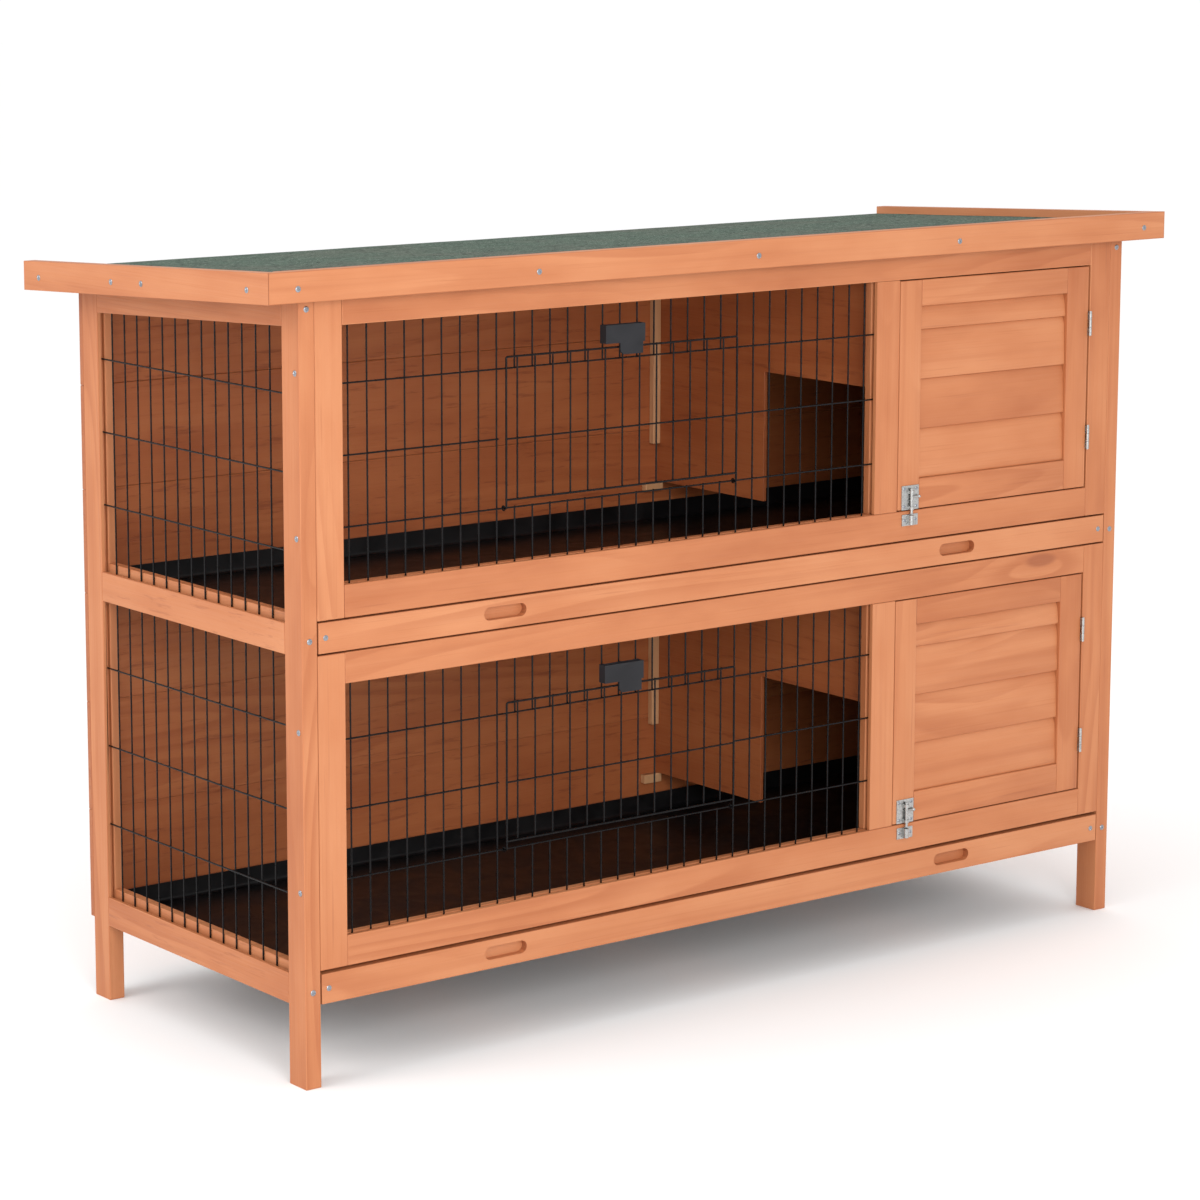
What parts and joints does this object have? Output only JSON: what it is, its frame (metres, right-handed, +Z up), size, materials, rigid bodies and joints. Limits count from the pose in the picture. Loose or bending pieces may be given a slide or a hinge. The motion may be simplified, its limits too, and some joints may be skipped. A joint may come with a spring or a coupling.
{
  "type": "rabbit hutch",
  "caption": "Two-storey wooden rabbit hutch on legs with wire fronts, wooden nest doors, wire access doors, pull-out litter trays and a sloping felted roof.",
  "frame": {"origin": "on the ground under the middle of the roof's outline", "axes": "+X right along the front as seen by someone facing it, -Y towards that person, +Z up"},
  "size_m": [1.354, 0.527, 0.91],
  "materials": {
    "stained_wood": "satin orange-brown stain on planed softwood",
    "stained_boards": "satin orange-brown stain on thin boards",
    "black_wire": "black coated steel wire",
    "roof_felt": "mineral-faced bitumen felt, green with dark specks",
    "tray_plastic": "matt black sheet plastic",
    "clip_plastic": "moulded black plastic",
    "zinc_plate": "zinc-plated pressed steel",
    "screw_steel": "zinc-plated screw heads"
  },
  "bodies": {
    "root": {"front_left_post": "stained_wood", "front_right_post": "stained_wood", "back_left_post": "stained_wood", "back_right_post": "stained_wood", "left_top_rail": "stained_wood", "left_mid_rail": "stained_wood", "left_bottom_rail": "stained_wood", "right_top_rail": "stained_wood", "right_mid_rail": "stained_wood", "right_bottom_rail": "stained_wood", "left_mesh_upper": "black_wire", "left_mesh_lower": "black_wire", "right_boards_upper": "stained_boards", "right_boards_lower": "stained_boards", "back_rails": "stained_wood", "back_boards_upper": "stained_boards", "back_boards_lower": "stained_boards", "lower_front_top_rail": "stained_wood", "lower_front_bottom_rail": "stained_wood", "lower_front_stiles": "stained_wood", "lower_front_mesh": "black_wire", "upper_front_top_rail": "stained_wood", "upper_front_bottom_rail": "stained_wood", "upper_front_stiles": "stained_wood", "upper_front_mesh": "black_wire", "lower_partition": "stained_boards", "upper_partition": "stained_boards", "partition_battens": "stained_wood", "roof_board": "stained_boards", "roof_felt": "roof_felt", "roof_front_fascia": "stained_wood", "roof_left_fascia": "stained_wood", "roof_right_fascia": "stained_wood", "tray_runners": "stained_wood", "hinge_frame_leaves": "zinc_plate", "hinge_pins": "zinc_plate", "latch_keepers": "zinc_plate", "roof_screws": "screw_steel", "post_screws": "screw_steel"},
    "lower_tray": {"lower_tray_front": "stained_wood", "lower_tray_pan": "tray_plastic", "lower_tray_bars": "stained_wood"},
    "lower_nest_door": {"lower_door_frame": "stained_wood", "lower_door_boards": "stained_boards", "lower_hinge_door_leaves": "zinc_plate", "lower_latch_plate": "zinc_plate"},
    "lower_bolt": {"lower_latch_bolt": "zinc_plate"},
    "lower_wire_door": {"lower_wire_door": "black_wire"},
    "lower_clip": {"lower_clip": "clip_plastic"},
    "upper_tray": {"upper_tray_front": "stained_wood", "upper_tray_pan": "tray_plastic", "upper_tray_bars": "stained_wood"},
    "upper_nest_door": {"upper_door_frame": "stained_wood", "upper_door_boards": "stained_boards", "upper_hinge_door_leaves": "zinc_plate", "upper_latch_plate": "zinc_plate"},
    "upper_bolt": {"upper_latch_bolt": "zinc_plate"},
    "upper_wire_door": {"upper_wire_door": "black_wire"},
    "upper_clip": {"upper_clip": "clip_plastic"}
  },
  "joints": [
    {"name": "lower_tray_slide", "type": "slide", "parent": "root", "child": "lower_tray", "axis": [0, 1, 0], "range_m": [-0.38, 0]},
    {"name": "lower_nest_door_hinge", "type": "hinge", "parent": "root", "child": "lower_nest_door", "pos_m": [0.5676, -0.2419, 0.31], "axis": [0, 0, 1], "range_deg": [0, 110]},
    {"name": "lower_bolt_slide", "type": "slide", "parent": "lower_nest_door", "child": "lower_bolt", "axis": [0, 0, 1], "range_m": [-0.009, 0.002]},
    {"name": "lower_wire_door_hinge", "type": "hinge", "parent": "root", "child": "lower_wire_door", "pos_m": [-0.1805, -0.2325, 0.23], "axis": [1, 0, 0], "range_deg": [0, 140]},
    {"name": "lower_clip_slide", "type": "slide", "parent": "lower_wire_door", "child": "lower_clip", "axis": [0, 0, 1], "range_m": [0, 0.012]},
    {"name": "upper_tray_slide", "type": "slide", "parent": "root", "child": "upper_tray", "axis": [0, 1, 0], "range_m": [-0.38, 0]},
    {"name": "upper_nest_door_hinge", "type": "hinge", "parent": "root", "child": "upper_nest_door", "pos_m": [0.5676, -0.2419, 0.704], "axis": [0, 0, 1], "range_deg": [0, 110]},
    {"name": "upper_bolt_slide", "type": "slide", "parent": "upper_nest_door", "child": "upper_bolt", "axis": [0, 0, 1], "range_m": [-0.009, 0.002]},
    {"name": "upper_wire_door_hinge", "type": "hinge", "parent": "root", "child": "upper_wire_door", "pos_m": [-0.1805, -0.2325, 0.624], "axis": [1, 0, 0], "range_deg": [0, 140]},
    {"name": "upper_clip_slide", "type": "slide", "parent": "upper_wire_door", "child": "upper_clip", "axis": [0, 0, 1], "range_m": [0, 0.012]}
  ]
}
